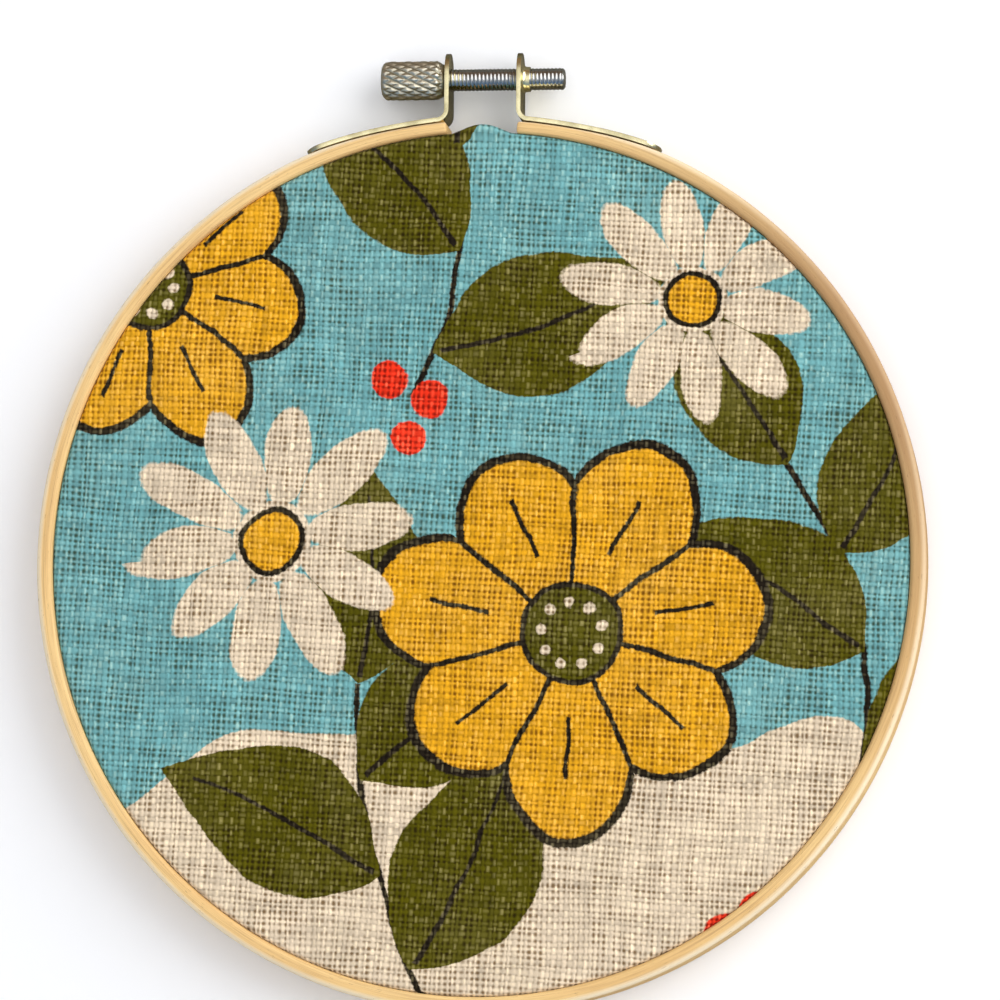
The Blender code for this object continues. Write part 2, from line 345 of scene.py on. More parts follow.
def ringBoard(name, sizes, material, closed):
    board, given = shapeTree(name, sizes)
    middle = given["Outer Radius"] - given["Wall"] / 2
    if closed:
        circle = {"Resolution": given["Steps"], "Radius": middle}
        path = board.node("GeometryNodeCurvePrimitiveCircle", {"mode": "RADIUS"}, circle)
    else:
        half = board.math("ARCSINE", given["Gap Half"] / middle)
        arc = {
            "Resolution": given["Steps"],
            "Radius": middle,
            "Start Angle": half + math.pi / 2,
            "Sweep Angle": math.tau - half * 2,
        }
        path = board.node("GeometryNodeCurveArc", {"mode": "RADIUS"}, arc)
    place = board.node("GeometryNodeInputPosition")
    x, y, _ = board.parts(place)
    wobble = board.noise(board.scaled(place, 45.0), 1.0, 2.0) - 0.5
    grow = 1.0 + wobble * given["Uneven"] / middle * 2.0
    bent = board.vector(x * grow, y * grow * given["Oval"] + given["Centre Y"], given["Depth"] / 2)
    path = board.node("GeometryNodeSetPosition", None, {"Geometry": path, "Position": bent})
    bar = {"Width": given["Wall"], "Height": given["Depth"]}
    bar = board.node("GeometryNodeCurvePrimitiveQuadrilateral", {"mode": "RECTANGLE"}, bar)
    rounded = {"Curve": bar, "Radius": given["Corner"], "Count": 5}
    bar = board.node("GeometryNodeFilletCurve", {"mode": "POLY"}, rounded)
    swept = {"Curve": path, "Profile Curve": bar, "Fill Caps": True}
    ring = board.node("GeometryNodeCurveToMesh", None, swept)
    if not closed:
        ring = thinnedEnds(board, given, ring)
    closeTree(board, ring, material)
    return board


def thinnedEnds(board, given, ring):
    # moves the outside of the swept ring inwards on both sides of the split
    x, y, z = board.parts(board.node("GeometryNodeInputPosition"))
    y = (y - given["Centre Y"]) / given["Oval"]
    radius = board.length(board.vector(x, y))
    away = abs(board.math("ARCTAN2", x, y))
    share = ((given["Thin From"] - away) / (given["Thin From"] - given["Thin To"])).within(0.0, 1.0)
    share = share * share * (3.0 - share * 2.0)
    outside = ((radius - given["Outer Radius"]) / given["Wall"] + 1.0).within(0.0, 1.0)
    keep = 1.0 - share * outside * given["Thinning"] / radius
    place = board.vector(x * keep, y * keep * given["Oval"] + given["Centre Y"], z)
    return board.node("GeometryNodeSetPosition", None, {"Geometry": ring, "Position": place})


def makeRing(name, low, high, node, material):
    closed = name == "closedRing"
    sizes = {"Outer Radius": high.x, "Depth": high.z - low.z, "Oval": oval, "Centre Y": hoopY}
    sizes = {**sizes, **ringShapes[name], **splitPlan}
    board = ringBoard(name + "Nodes", sizes, material, closed)
    mesh = meshFromTree(name, board, sizes, 0.0 if closed else ringEndBevel)
    addPiece(name, mesh, material, "hoop", [node])
    print(name, "made with", len(mesh.polygons), "faces")


woodFront = woodMaterial("paleRingWood", 1.0)
woodInside = woodMaterial("innerRingWood", innerRingShade)
makeRing("splitRing", rimLow, rimHigh, "outer_ring", woodFront)
makeRing("closedRing", ringLow, ringHigh, "inner_ring", woodInside)

# weave: plain weave of uneven threads, in millimetres of the flat cloth
weave = {
    "warpPitch": 0.95,
    "weftPitch": 1.08,
    "turn": 3.0,  # degrees that the grain leans in the hoop
    "waver": 1.6,  # how far the threads wander together
    "stray": 0.9,  # how far single threads wander, in pitches
    "holeLeast": 0.13,  # radius of the smallest holes between threads
    "holeMore": 0.16,  # how much wider the widest are
    "patches": 0.09,  # scale of loosely and tightly woven patches
    "looseFrom": 2.25,  # a higher value leaves fewer loose patches
    "tightHoles": 0.45,  # how strongly the painted shade of the smallest holes shows
    "relief": 0.09 * mm,
}


def weaveCells(board, spot):
    # each cell is one crossing: a crown of the thread on top, with a hole at each corner
    look = weave
    lean = math.radians(look["turn"])
    x, y, _ = board.parts(spot)
    drift = board.parts(board.noise(board.scaled(spot, 0.045), 1.0, 1.0, "Color"))
    across = x * math.cos(lean) - y * math.sin(lean) + (drift[0] - 0.5) * look["waver"]
    down = x * math.sin(lean) + y * math.cos(lean) + (drift[1] - 0.5) * look["waver"]
    u, v = across / look["warpPitch"], down / look["weftPitch"]
    warpShift = board.noise(board.vector(u * 0.7, v * 0.05, 3.0), 1.0, 1.0)
    weftShift = board.noise(board.vector(v * 0.7, u * 0.05, 7.0), 1.0, 1.0)
    u, v = u + (warpShift - 0.5) * look["stray"], v + (weftShift - 0.5) * look["stray"]
    column, row = u.math("FLOOR"), v.math("FLOOR")
    sineU, sineV = (u * math.pi).math("SINE"), (v * math.pi).math("SINE")
    warpOver = (sineU * sineV * 4.0 + 0.5).within(0.0, 1.0)
    wideU, wideV = abs(sineU), abs(sineV)
    stroke = wideU**2.2 * (wideV * 0.5 + 0.5)
    strand = wideV**1.8 * (wideU * 0.35 + 0.3)
    crown = warpOver * stroke + (1.0 - warpOver) * strand
    height = wideU * wideV
    height = height * height * (warpOver * 0.5 + 0.5)
    cell = board.vector(column, row)
    single = board.node("ShaderNodeTexWhiteNoise", None, {"Vector": cell}, "Value")
    warpTint = board.noise(board.vector(column * 3.1, v * 0.07, 1.0), 1.0, 2.0) - 0.5
    weftTint = board.noise(board.vector(row * 3.1, u * 0.07, 5.0), 1.0, 2.0) - 0.5
    tint = warpTint * (0.5 + warpOver) + weftTint * (1.5 - warpOver)

    cornerU, cornerV = (u + 0.5).math("FLOOR"), (v + 0.5).math("FLOOR")
    loose = board.noise(board.vector(cornerU * 5.1, v * 0.12, 11.0), 1.0, 1.0) * 2.4
    loose = loose + board.noise(board.vector(cornerV * 5.1, u * 0.12, 17.0), 1.0, 1.0) * 1.8
    loose = loose + board.noise(board.scaled(spot, look["patches"]), 1.0, 2.0) * 1.5
    loose = (loose - look["looseFrom"]).within(0.0, 1.0)
    offU, offV = (u - cornerU) * look["warpPitch"], (v - cornerV) * (look["weftPitch"] * 0.85)
    radius = loose * look["holeMore"] + look["holeLeast"]
    inside = radius - board.length(board.vector(offU, offV))
    hole = (inside * 3.2 + 0.5).within(0.0, 1.0)
    hole = hole * (loose * (1.0 - look["tightHoles"]) + look["tightHoles"])
    return crown, height, single, tint, hole


# print: flat inks, in millimetres from the hoop's middle
inks = {
    "turquoise": tone(100, 152, 154),
    "cream": tone(206, 187, 161),
    "mustard": tone(206, 147, 24),
    "olive": tone(75, 70, 2),
    "line": tone(30, 23, 14),
    "red": tone(214, 44, 20),
    "thread": tone(208, 192, 142),  # what shows through worn ink
    "hole": (0.31, 0.24, 0.16, 1.0),  # painted shade seen through the holes, times the ink round it
}
sprigs = [
    {"x": -8, "y": -80, "heading": 118, "bend": -0.5, "length": 60, "leaves": 4, "leaf": (46, 24)},
    {"x": 68, "y": -44, "heading": 78, "bend": 0.75, "length": 64, "leaves": 4, "leaf": (44, 23)},
    {"x": -12, "y": 30, "heading": 60, "bend": 0.9, "length": 46, "leaves": 3, "leaf": (44, 23)},
]
bigFlowers = [
    {"x": 17, "y": -13, "turn": 12, "size": 35.5},
    {"x": -60, "y": 50, "turn": 40, "size": 29.0},
]
daisies = [
    {"x": -37, "y": 4, "turn": 8, "size": 26.0},
    {"x": 38, "y": 47, "turn": 25, "size": 23.0},
]
berries = [(-16, 33), (-9, 29), (-13, 22), (50, -62), (44, -66)]
printPlan = {
    "edgeSoftness": 0.28,
    "edgeWaver": 0.6,  # how far the inks' edges stray
    "stemHalf": 0.55,  # half the width of stems
    "outlineHalf": 0.5,  # and of the rings round the flowers' hearts
    "leafLean": 48,  # degrees between a stem and its leaves
    "leafShrink": 0.05,  # from each leaf to the next
    "berryRadius": 3.3,
    "bankDrop": 36.0,  # from the hoop's middle down to the cream bank
    "reverseInk": 0.45,  # how much of the print shows on the cloth's back
}


def inkMask(distance, bleed):
    return ((distance + bleed) * (-1.0 / printPlan["edgeSoftness"]) + 0.5).within(0.0, 1.0)


def placed(board, spot, x, y, turn):
    # the spot as seen from a motif's middle, with the motif's long way along X
    sockets = {"Vector": spot, "Location": (x, y, 0.0), "Rotation": (0.0, 0.0, math.radians(turn))}
    return board.node("ShaderNodeMapping", {"vector_type": "TEXTURE"}, sockets)


def leafShape(board, spot, x, y, turn, length, width):
    u, v, _ = board.parts(placed(board, spot, x, y, turn))
    share = u * (2.0 / length)
    v = v + (1.0 - share * share) * (width * 0.08)
    half = (1.0 - share * share).most(0.0) ** 0.92 * (1.0 - share * 0.28) * (width * 0.54)
    edge = (abs(v) - half).most(abs(u) - length / 2)
    rib = (abs(v) - 0.4 + share * 0.14).most(abs(share + 0.1) * (length / 2) - length * 0.42)
    return edge, rib


def petalFold(board, spot, x, y, turn, petals):
    # folds the petals of a flower onto one that lies along X
    local = placed(board, spot, x, y, turn)
    u, v, _ = board.parts(local)
    radius = board.length(local)
    sector = board.math("ARCTAN2", v, u) * (petals / math.tau) + 0.5
    number = sector.math("FLOOR")
    angle = (sector - number - 0.5) * (math.tau / petals)
    return radius, angle, number, radius * angle.math("COSINE"), radius * angle.math("SINE")


def ellipse(board, u, v, middle, long, wide):
    ratio = board.length(board.vector((u - middle) / long, v / wide))
    return (ratio - 1.0) * min(long, wide)


def paintSprig(board, spot, colour, bleed, sprig):
    heading, bend = math.radians(sprig["heading"]), math.radians(sprig["bend"])
    turnRadius = 1 / bend
    centreX = sprig["x"] - turnRadius * math.sin(heading)
    centreY = sprig["y"] + turnRadius * math.cos(heading)

    def onStem(distance):
        angle = heading + bend * distance
        return centreX + turnRadius * math.sin(angle), centreY - turnRadius * math.cos(angle), angle

    middleX, middleY, _ = onStem(sprig["length"] / 2)
    away = board.length(placed(board, spot, centreX, centreY, 0))
    reach = board.length(placed(board, spot, middleX, middleY, 0)) - sprig["length"] / 2
    stem = (abs(away - abs(turnRadius)) - printPlan["stemHalf"]).most(reach)
    colour = board.blend(inkMask(stem, bleed), colour, inks["line"])
    length, width = sprig["leaf"]
    for number in range(sprig["leaves"]):
        last = number == sprig["leaves"] - 1
        stepAlong = sprig["length"] * (number + 0.45) / (sprig["leaves"] - 0.55)
        x, y, angle = onStem(sprig["length"] if last else stepAlong)
        side = 0.0 if last else (1 if number % 2 else -1) * math.radians(printPlan["leafLean"])
        size = 1.0 - printPlan["leafShrink"] * number
        x += math.cos(angle + side) * length * size * 0.5
        y += math.sin(angle + side) * length * size * 0.5
        turn = math.degrees(angle + side)
        edge, rib = leafShape(board, spot, x, y, turn, length * size, width * size)
        colour = board.blend(inkMask(edge, bleed), colour, inks["olive"])
        colour = board.blend(inkMask(rib, bleed), colour, inks["line"])
    return colour


def paintBigFlower(board, spot, colour, bleed, flower):
    size = flower["size"]
    place = (flower["x"], flower["y"], flower["turn"])
    radius, angle, number, u, v = petalFold(board, spot, *place, 7)
    stretch = 1.0 + (number * 2.4).math("SINE") * 0.05
    edge = ellipse(board, u / stretch, v, size * 0.6, size * 0.4, size * 0.33)
    edge = edge.least(radius - size * 0.45)
    between = (math.pi / 7 - abs(angle)).math("SINE") * radius
    colour = board.blend(inkMask(edge, bleed), colour, inks["mustard"])
    lines = (abs(edge) - 0.7).least((abs(between) - 0.5).most(edge))
    vein = (abs(v) - 0.42).most(abs(u - size * 0.58) - size * 0.16)
    lines = lines.least(vein)
    colour = board.blend(inkMask(lines, bleed), colour, inks["line"])
    heart = radius - size * 0.25
    colour = board.blend(inkMask(heart, bleed), colour, inks["olive"])
    _, _, _, dotU, dotV = petalFold(board, spot, *place, 9)
    dots = board.length(board.vector(dotU - size * 0.16, dotV)) - 0.95
    colour = board.blend(inkMask(dots, bleed), colour, inks["cream"])
    return board.blend(inkMask(abs(heart) - printPlan["outlineHalf"], bleed), colour, inks["line"])


def paintDaisy(board, spot, colour, bleed, flower):
    size = flower["size"]
    radius, _, number, u, v = petalFold(board, spot, flower["x"], flower["y"], flower["turn"], 10)
    stretch = 1.0 + (number * 2.1).math("SINE") * 0.06
    petal = ellipse(board, u / stretch, v, size * 0.62, size * 0.37, size * 0.165)
    colour = board.blend(inkMask(petal.least(radius - size * 0.28), bleed), colour, inks["cream"])
    heart = radius - size * 0.22
    colour = board.blend(inkMask(heart, bleed), colour, inks["mustard"])
    return board.blend(inkMask(abs(heart) - printPlan["outlineHalf"], bleed), colour, inks["line"])


def printedColour(board, spot, bleed):
    # turquoise ground, a cream bank along the foot, then sprigs, flowers and berries
    x, y, _ = board.parts(spot)
    waves = (x * 0.075 + 0.6).math("SINE") * 7.0 + (x * 0.17).math("SINE") * 2.5
    bank = inkMask(y + printPlan["bankDrop"] + waves, bleed)
    colour = board.blend(bank, inks["turquoise"], inks["cream"])
    for sprig in sprigs:
        colour = paintSprig(board, spot, colour, bleed, sprig)
    for flower in bigFlowers:
        colour = paintBigFlower(board, spot, colour, bleed, flower)
    for flower in daisies:
        colour = paintDaisy(board, spot, colour, bleed, flower)
    for x, y in berries:
        berry = board.length(placed(board, spot, x, y, 0)) - printPlan["berryRadius"]
        colour = board.blend(inkMask(berry, bleed), colour, inks["red"])
    return colour


clothLook = {
    "roughness": 0.92,
    "sheen": 0.03,
    "specular": 0.1,
    "bright": 1.06,  # between the threads' crowns, times the ink
    # painted highlight on the threads' crowns: its least share and how much it varies
    "crownHighlight": 0.3,
    "crownHighlightVaries": 0.35,
    "specks": 0.2,  # how far single crowns are worn to the thread
    "wearAndPaintedLight": 0.16,  # how far whole stretches are worn to the thread
    "threadTint": 0.7,  # how much the threads differ from each other
}


def clothMaterial(name, inkShare):
    # inkShare is how much of the print shows: all on the face, little on the back
    look = clothLook
    material, board, shader = newMaterial(name, Roughness=look["roughness"], Sheen_Weight=look["sheen"])
    shader.inputs["Specular IOR Level"].default_value = look["specular"]
    flat = board.node("ShaderNodeUVMap", {"uv_map": "flatCut"})
    spot = board.scaled(flat, 1 / mm)
    crown, height, single, tint, hole = weaveCells(board, spot)
    slow = board.noise(board.scaled(spot, 0.07), 1.0, 2.0, "Color")
    shift = board.summed(slow, (-0.5, -0.5, -0.5))
    drawn = board.summed(spot, board.scaled(shift, 3.0))
    fine = board.noise(board.scaled(spot, 1.3), 1.0, 2.0) - 0.5
    bleed = fine * printPlan["edgeWaver"] + (single - 0.5) * 0.14
    colour = printedColour(board, drawn, bleed)
    if inkShare < 1:
        colour = board.blend(inkShare, inks["cream"], colour)
    # a painted highlight makes the crowns lighter, and some crowns are worn to the thread
    paintedCrownHighlight = crown * (single * look["crownHighlightVaries"] + look["crownHighlight"])
    cloudy = board.noise(board.scaled(spot, 0.05), 1.0, 3.0) - 0.5
    speck = crown * ((single - 0.3) * look["specks"]).most(0.0)
    # worn ink shows the thread, and the crowns' painted highlight pales them a little
    thinInkAndSheen = (speck + paintedCrownHighlight * 0.05 + cloudy * look["wearAndPaintedLight"]).within(0.0, 0.3)
    colour = board.blend(thinInkAndSheen, colour, inks["thread"])
    # painted shade darkens the holes between the threads
    colour = board.blend(hole, colour, board.blend(1.0, colour, inks["hole"], "MULTIPLY"))
    # the brightness carries the crowns' painted highlight besides each thread's own tone
    bright = (look["bright"] + paintedCrownHighlight) * (1.0 + tint * look["threadTint"] + cloudy * 0.1 + fine * 0.3)
    board.feed(shader.inputs["Base Color"], board.scaled(colour, bright))
    roughened(board, shader, height, weave["relief"])
    return material


# cloth: one sheet over the inner ring, its face, its rounded turn and its skirt
clothShape = {
    "thickness": 0.8 * mm,
    "turnRadius": 1.2 * mm,
    "reach": 0.3 * mm,  # how much nearer it comes to the outer ring than its solid
    "bulge": 1.6 * mm,  # how far it pushes into the split
    "bulgeHalf": 5.85 * mm,
    "bulgePower": 1.5,
    "faceRings": 44,
    "turnRings": 8,
    "skirtRings": 6,
    "spokes": 360,
    "ripple": 0.1 * mm,
}
clothRim = clothHigh.x + clothShape["reach"]


def clothRow(distance):
    # radius, height and share of the bulge at a distance along the sheet from its middle
    shape = clothShape
    flatRadius = clothRim - shape["turnRadius"]
    turnLength = shape["turnRadius"] * math.pi / 2
    if distance <= flatRadius:
        return distance, clothHigh.z, 0.0
    if distance < flatRadius + turnLength:
        turn = (distance - flatRadius) / shape["turnRadius"]
        share = math.sin(turn)
        radius = flatRadius + shape["turnRadius"] * share
        return radius, clothHigh.z - shape["turnRadius"] * (1 - math.cos(turn)), share
    drop = shape["turnRadius"] + distance - flatRadius - turnLength
    return clothRim, clothHigh.z - drop, 1.0


def clothPoint(distance, angle):
    shape = clothShape
    radius, height, share = clothRow(distance)
    across = clothRim * math.sin(angle) / shape["bulgeHalf"]
    if math.cos(angle) > 0 and abs(across) < 1:
        radius += shape["bulge"] * share * math.cos(across * math.pi / 2) ** shape["bulgePower"]
    x, y = radius * math.sin(angle), radius * math.cos(angle) * oval
    slack = noise.noise(Vector((x * 28, y * 28, 1.3))) * 0.6
    slack += noise.noise(Vector((x * 70, y * 70, 5.1))) * 0.3
    nearRim = max(0.0, 1 - (clothRim - radius) / (9 * mm)) ** 2
    pucker = noise.noise(Vector((math.sin(angle) * 16, math.cos(angle) * 16, 9.7))) * nearRim * (1 - share)
    height -= shape["ripple"] * (0.5 + 0.5 * slack + 0.6 * pucker) * (1 - share)
    return x, hoopY + y, height


def makeCloth():
    shape = clothShape
    flatRadius = clothRim - shape["turnRadius"]
    turnLength = shape["turnRadius"] * math.pi / 2
    skirt = clothHigh.z - shape["turnRadius"] - clothLow.z
    rows = []
    spans = (
        (0.0, flatRadius, "faceRings"),
        (flatRadius, turnLength, "turnRings"),
        (flatRadius + turnLength, skirt, "skirtRings"),
    )
    for start, span, count in spans:
        rows += [start + span * (step + 1) / shape[count] for step in range(shape[count])]
    angles = [math.tau * step / shape["spokes"] for step in range(shape["spokes"])]
    sheet = bmesh.new()
    flatCut = sheet.loops.layers.uv.new("flatCut")
    flatPlace = {}

    def addPoint(distance, angle):
        point = sheet.verts.new(clothPoint(distance, angle))
        flatPlace[point] = (distance * math.sin(angle), distance * math.cos(angle) * oval)
        return point

    middle = addPoint(0.0, 0.0)
    grid = [[addPoint(distance, angle) for angle in angles] for distance in rows]
    for spoke in range(shape["spokes"]):
        after = (spoke + 1) % shape["spokes"]
        sheet.faces.new((middle, grid[0][after], grid[0][spoke]))
        for row, nextRow in zip(grid, grid[1:]):
            sheet.faces.new((row[spoke], row[after], nextRow[after], nextRow[spoke]))
    for face in sheet.faces:
        for loop in face.loops:
            loop[flatCut].uv = flatPlace[loop.vert]
    mesh = bpy.data.meshes.new("printedCloth")
    bmesh.ops.recalc_face_normals(sheet, faces=sheet.faces)
    if middle.normal.z < 0:
        bmesh.ops.reverse_faces(sheet, faces=sheet.faces)
    sheet.to_mesh(mesh)
    sheet.free()
    mesh.materials.append(clothMaterial("printedWeave", 1.0))
    mesh.materials.append(clothMaterial("weaveReverse", printPlan["reverseInk"]))
    source = temporaryObject("printedCloth", mesh)
    thick = source.modifiers.new("Thickness", "SOLIDIFY")
    thick.thickness = shape["thickness"]
    thick.offset = -1.0
    thick.material_offset = 1
    thick.material_offset_rim = 1
    mesh = plainMesh(source, "printedCloth")
    cloth = addPiece("printedCloth", mesh, None, "hoop", ["cloth"], 60)
    cut = 2 * rows[-1]
    area = math.pi * cut**2 / 4
    print("cloth made with", len(mesh.polygons), "faces, cut", round(cut / mm), "mm across")


makeCloth()


# metal: brass plate on the brackets, nickel on the grip, zinc on the shaft
metals = {
    # light and dark tones, roughness, and how much painted shade darkens the grooves
    "bracketPlate": (tone(248, 238, 192), tone(150, 136, 88), 0.2, 0.0),
    "gripPlate": (tone(240, 234, 214), tone(132, 126, 100), 0.36, 0.65),
    "shaftPlate": (tone(190, 190, 188), tone(84, 90, 94), 0.18, 0.3),
}
metalWear = {
    "cloudScale": 320.0,
    "grainScale": 2600.0,
    "earTopShadeSpan": 2.2 * mm,  # over which painted shade darkens a bracket's ear to its rounded top
    "relief": 0.02 * mm,
}


def metalMaterial(name):
    light, dark, roughness, grooveShade = metals[name]
    material, board, shader = newMaterial(name, Metallic=1.0)
    place = board.node("ShaderNodeTexCoord", None, None, "Object")
    cloud = board.noise(place, metalWear["cloudScale"], 3.0)
    grain = board.noise(place, metalWear["grainScale"], 2.0)
    # blotches of wear, to which painted shade is added below
    wearAndPaintedLight = ((cloud - 0.5) * 1.5 + 0.15).within(0.0, 0.6)
    if name == "bracketPlate":
        _, height, _ = board.parts(place)
        # painted shade on the rounded top of each ear
        wearAndPaintedLight = wearAndPaintedLight + ((height - earHigh.y) / metalWear["earTopShadeSpan"] + 0.8).within(0.0, 1.0)
    # painted shade in the knurl's grooves, at the thread's roots and on the grip's taper
    if grooveShade:
        groove = board.node("ShaderNodeAttribute", {"attribute_name": "groove"}, None, "Fac")
        wearAndPaintedLight = (wearAndPaintedLight * 0.5 + groove * grooveShade).within(0.0, 1.0)
    board.feed(shader.inputs["Base Color"], board.blend(wearAndPaintedLight, light, dark))
    rough = roughness + (cloud - 0.5) * 0.2 + (grain - 0.5) * 0.12
    board.feed(shader.inputs["Roughness"], rough)
    roughened(board, shader, cloud + grain * 0.3, metalWear["relief"])
    return material


# brackets: a bent strip with a round ear and rounded tail
stripShape = {
    "thickness": 0.8 * mm,
    "clearance": 0.3 * mm,
    "endAngle": math.radians(23.4),
    "cornerRadius": 3.0 * mm,
    "bendRadius": 1.5 * mm,
    "edge": 0.28 * mm,
    "earRise": 0.3 * mm,
    "earStart": math.radians(8),  # the ear's round top starts here, as a short flat
    "roundSteps": 12,
    "bendSteps": 12,
    "tailSteps": 24,
    "holeSlack": 0.08 * mm,
    "collarRadius": 2.28 * mm,
    "collarTip": 2.25 * mm,
    "collarLength": 1.4 * mm,
    "collarFoot": 0.9 * mm,
    "collarRoot": 0.3 * mm,  # how deep the collar starts inside the ear
    "collarLip": 0.07 * mm,
    "boreBeyond": 1 * mm,
    "turnSteps": 56,
}


def stripStations():
    # middle line in plan: place, direction and distance from the ear's top
    shape = stripShape
    half = (earHigh.z - earLow.z) / 2
    earX = earInnerX + shape["thickness"] / 2
    offRing = shape["clearance"] + shape["thickness"] / 2
    tailRadius = rimHigh.x - splitPlan["Thinning"] + offRing
    bend = shape["bendRadius"] + shape["thickness"] / 2
    bendX = earX + bend
    bendY = math.sqrt((tailRadius + bend) ** 2 - bendX**2)
    startAngle = math.atan2(bendX, bendY)
    topY = (earHigh.y + shape["earRise"] - hoopY) / oval
    stations = []
    for step in range(shape["roundSteps"] + 1):
        turn = shape["earStart"] + (math.pi / 2 - shape["earStart"]) * step / shape["roundSteps"]
        down = half * (1 - math.cos(turn))
        stations.append((earX, topY - down, (0.0, -1.0), down))
    straight = topY - bendY
    swing = math.pi / 2 + startAngle
    for step in range(shape["bendSteps"] + 1):
        turn = swing * step / shape["bendSteps"]
        place = (bendX - bend * math.cos(turn), bendY - bend * math.sin(turn))
        stations.append((*place, (math.sin(turn), -math.cos(turn)), straight + bend * turn))
    cornerAngle = shape["cornerRadius"] / tailRadius
    flatEnd = shape["endAngle"] - cornerAngle
    steps = shape["tailSteps"]
    angles = [startAngle + (flatEnd - startAngle) * (step + 1) / steps for step in range(steps)]
    for step in range(shape["roundSteps"]):
        angles.append(flatEnd + cornerAngle * math.sin(math.pi / 2 * (step + 1) / shape["roundSteps"]))
    for angle in angles:
        radius = rimHigh.x - thinningAt(angle) + offRing
        place = (radius * math.sin(angle), radius * math.cos(angle))
        distance = straight + bend * swing + tailRadius * (angle - startAngle)
        stations.append((*place, (math.cos(angle), -math.sin(angle)), distance))
    return stations


def stripHalfWidth(distance, length):
    half = (earHigh.z - earLow.z) / 2
    corner = stripShape["cornerRadius"]
    if distance < half:
        return math.sqrt(half**2 - (half - distance) ** 2)
    inside = corner - (length - distance)
    if inside > 0:
        return half - corner + math.sqrt(max(corner**2 - inside**2, 0.0))
    return half


def bridged(shape, rows, nextRows):
    # quads between each closed row of points and the one after it
    for row, nextRow in zip(rows, nextRows):
        for index in range(len(row)):
            after = (index + 1) % len(row)
            shape.faces.new((row[index], row[after], nextRow[after], nextRow[index]))


def objectFrom(name, shape):
    bmesh.ops.recalc_face_normals(shape, faces=shape.faces)
    mesh = bpy.data.meshes.new(name)
    shape.to_mesh(mesh)
    shape.free()
    return temporaryObject(name, mesh)


def turnedObject(name, profile, steps):
    # a closed profile of places along X and radii, turned about the screw's axis
    shape = bmesh.new()
    rows = []
    for step in range(steps):
        angle = math.tau * step / steps
        y, z = math.cos(angle), math.sin(angle)
        rows.append([shape.verts.new((x, screwY + r * y, screwZ + r * z)) for x, r in profile])
    bridged(shape, rows, rows[1:] + rows[:1])
    bmesh.ops.remove_doubles(shape, verts=shape.verts, dist=0.001 * mm)
    return objectFrom(name, shape)


def collarProfile(side):
    shape = stripShape
    hole = shaftHigh.z - screwZ + shape["holeSlack"]
    outer = earInnerX + shape["thickness"]
    foot = shape["collarFoot"]
    root = outer - shape["collarRoot"]
    profile = [(root, hole), (root, shape["collarRadius"] + foot)]
    for step in range(6):
        turn = math.pi / 2 * step / 5
        along = outer + foot * (1 - math.cos(turn)) - 0.02 * mm
        profile.append((along, shape["collarRadius"] + foot * (1 - math.sin(turn))))
    tipX = outer + shape["collarLength"]
    lip = shape["collarLip"]
    profile += [
        (tipX - lip, shape["collarTip"] + 0.02 * mm),
        (tipX - lip * 0.3, shape["collarTip"] - lip * 0.3),
        (tipX, shape["collarTip"] - lip),
        (tipX, hole + 0.05 * mm),
        (tipX - 0.05 * mm, hole),
    ]
    return [(side * x, radius) for x, radius in profile]


def makeBracket(name, side, node, material):
    shape = stripShape
    stations = stripStations()
    length = stations[-1][3]
    middleZ = (earHigh.z + earLow.z) / 2
    strip = bmesh.new()
    rows = []
    for x, y, direction, distance in stations:
        half = stripHalfWidth(distance, length)
        row = []
        for across, up in ((1, 1), (1, -1), (-1, -1), (-1, 1)):
            offset = across * shape["thickness"] / 2
            plan = (side * (x - direction[1] * offset), hoopY + (y + direction[0] * offset) * oval)
            row.append(strip.verts.new((*plan, middleZ + up * half)))
        rows.append(row)
    bridged(strip, rows, rows[1:])
    strip.faces.new(rows[0])
    strip.faces.new(rows[-1])
    source = objectFrom(name, strip)
    addBevel(source, shape["edge"], 3, 50)
    helpers = []
    if side > 0:
        helpers.append(("UNION", turnedObject(name + "Collar", collarProfile(side), shape["turnSteps"])))
    hole = shaftHigh.z - screwZ + shape["holeSlack"]
    near = earInnerX - shape["boreBeyond"]
    far = earInnerX + shape["thickness"] + shape["collarLength"] + shape["boreBeyond"]
    bore = [(side * near, 0.0), (side * near, hole), (side * far, hole), (side * far, 0.0)]
    helpers.append(("DIFFERENCE", turnedObject(name + "Bore", bore, shape["turnSteps"])))
    for operation, helper in helpers:
        cut = source.modifiers.new(operation, "BOOLEAN")
        cut.operation = operation
        cut.solver = "EXACT"
        cut.object = helper
    mesh = plainMesh(source, name)
    for _, helper in helpers:
        bpy.data.objects.remove(helper, do_unlink=True)
    addPiece(name, mesh, material, "hoop", [node], 30)
    print(name, "made with", len(mesh.polygons), "faces")


bracketPlate = metalMaterial("bracketPlate")
makeBracket("leftBracket", -1, "bracket_left", bracketPlate)
makeBracket("rightBracket", 1, "bracket_right", bracketPlate)


def ruledGrid(board, columns, rows):
    # a grid whose places are 0 to 1 along (first) and around (second)
    sockets = {"Size X": 1.0, "Size Y": 1.0, "Vertices X": columns, "Vertices Y": rows}
    grid = board.node("GeometryNodeMeshGrid", None, sockets)
    x, y, _ = board.parts(board.node("GeometryNodeInputPosition"))
    return grid, x + 0.5, y + 0.5


def aboutScrew(board, grid, along, radius, around, given):
    # bends the grid round the screw's axis and welds its seam and poles
    angle = around * math.tau
    y = radius * angle.math("COSINE") + given["Axis Y"]
    z = radius * angle.math("SINE") + given["Axis Z"]
    sockets = {"Geometry": grid, "Position": board.vector(along, y, z)}
    bent = board.node("GeometryNodeSetPosition", None, sockets)
    sockets = {"Geometry": bent, "Distance": 0.004 * mm}
    return board.node("GeometryNodeMergeByDistance", None, sockets)


